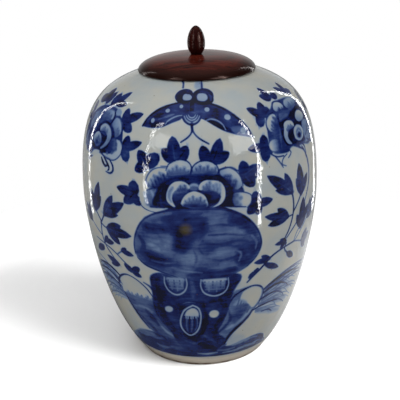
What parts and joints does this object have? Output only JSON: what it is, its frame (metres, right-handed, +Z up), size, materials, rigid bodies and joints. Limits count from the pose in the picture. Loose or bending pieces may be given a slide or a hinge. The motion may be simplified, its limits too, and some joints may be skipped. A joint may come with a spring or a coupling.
{
  "type": "porcelain jar with hardwood cover",
  "caption": "Ovoid glazed porcelain jar on a low foot ring, with a turned hardwood cover that lifts off its low neck by a bud-shaped finial.",
  "frame": {"origin": "on the jar's axis, at the plane that the foot ring rests on", "axes": "+Z up the jar's axis; -Y is the front, the side with the painted rock and flowers seen in the picture"},
  "size_m": [0.224, 0.224, 0.315],
  "materials": {
    "porcelain": "clear gloss glaze over cobalt painting, bare at the foot and neck",
    "hardwood": "turned, stained dark red-brown and polished"
  },
  "bodies": {
    "jar": {"jar_body": "porcelain"},
    "cover": {"lid": "hardwood", "finial": "hardwood"}
  },
  "joints": [
    {"name": "cover_lift", "type": "slide", "parent": "jar", "child": "cover", "axis": [0, 0, 1], "range_m": [0, 0.12]}
  ]
}
